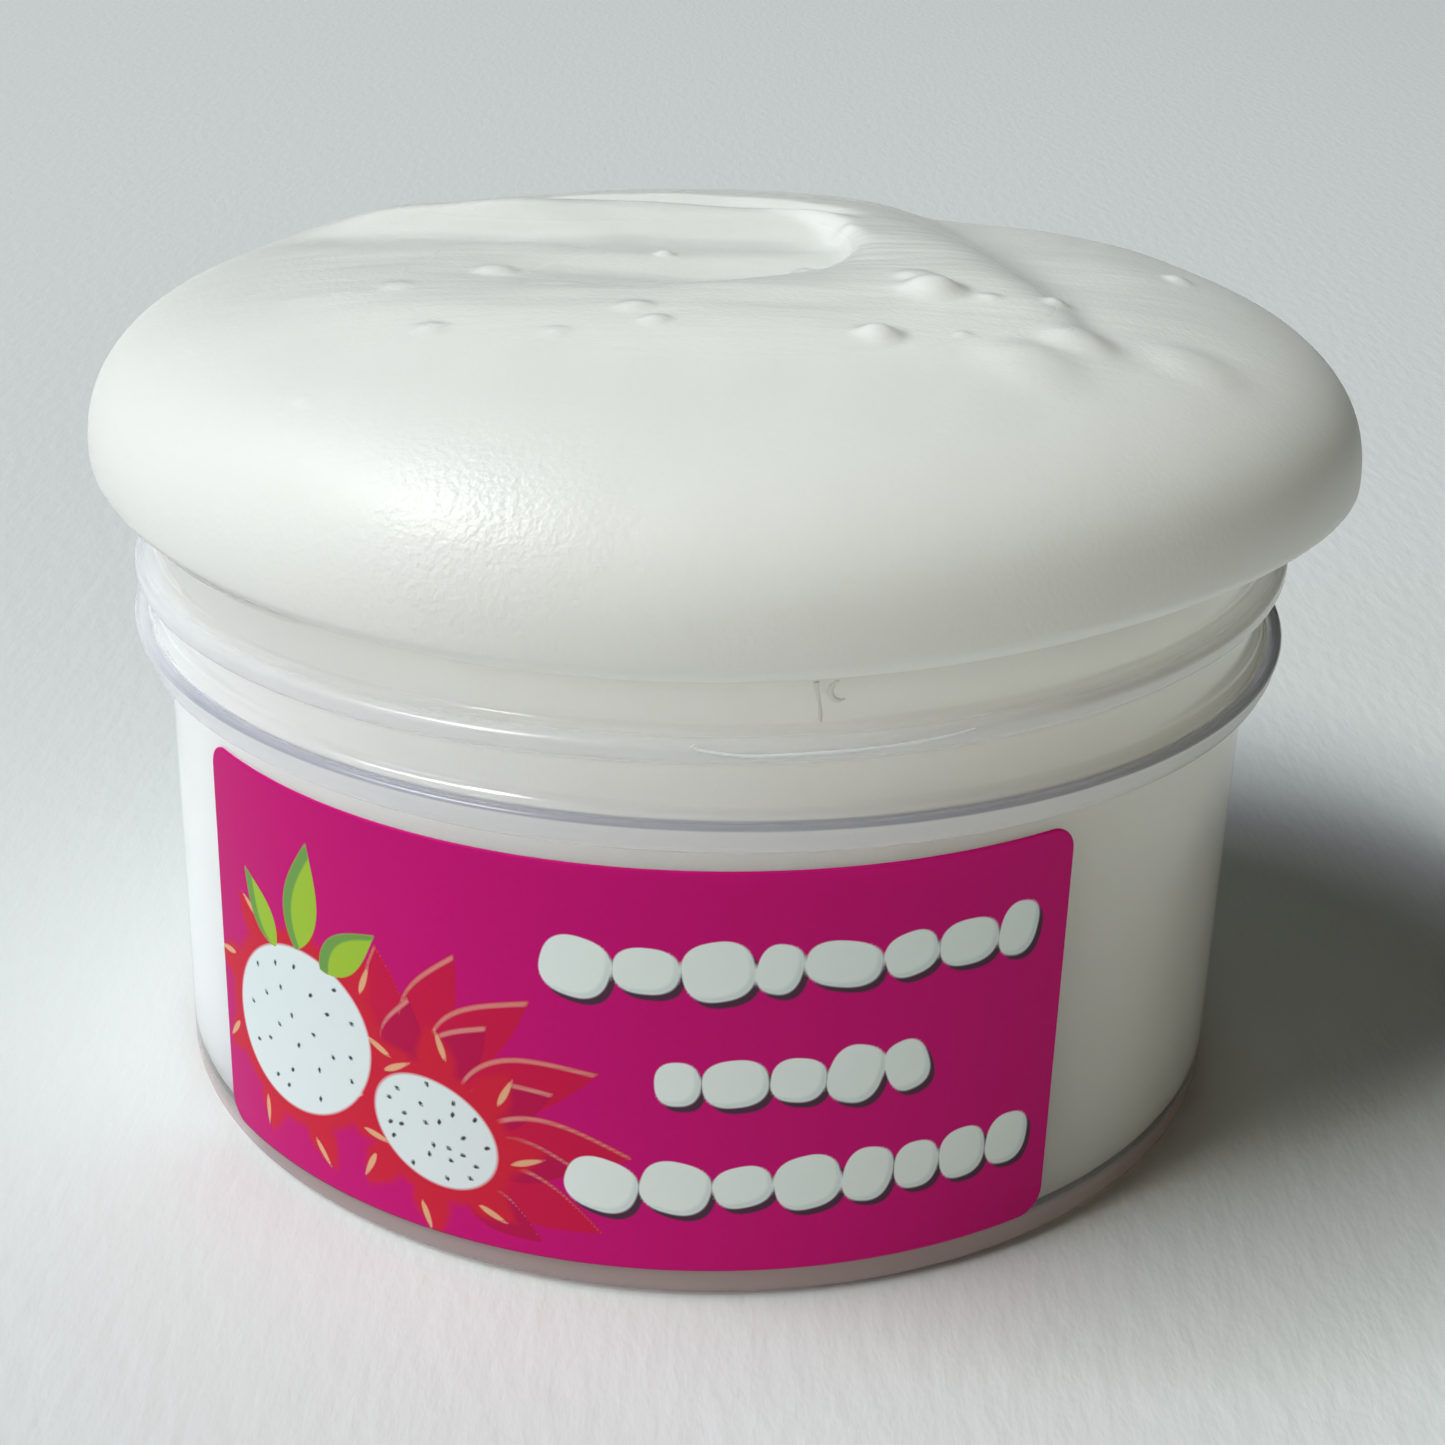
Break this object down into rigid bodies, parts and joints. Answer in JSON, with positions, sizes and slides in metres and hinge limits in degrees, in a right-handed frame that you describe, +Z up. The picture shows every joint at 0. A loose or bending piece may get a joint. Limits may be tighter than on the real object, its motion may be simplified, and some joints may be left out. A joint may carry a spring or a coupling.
{
  "type": "open jar of marshmallow fluff",
  "caption": "Low, wide, clear plastic screw-neck jar, open and heaped with smooth white marshmallow fluff that swells over its rim, with a printed fruit label round its front.",
  "frame": {"origin": "centre of the jar's flat underside, on the axis of its round body", "axes": "+Z up along the jar's axis; the label faces -Y; +X is to the right as the label is read"},
  "size_m": [0.0978, 0.0922, 0.0663],
  "materials": {
    "clear_plastic": "clear, slightly hazy moulded polypropylene",
    "fluff": "opaque white whipped fluff with a soft sheen",
    "label_print": "printed film label, satin"
  },
  "bodies": {
    "root": {"jar": "clear_plastic", "mallow": "fluff", "label": "label_print"}
  },
  "joints": []
}
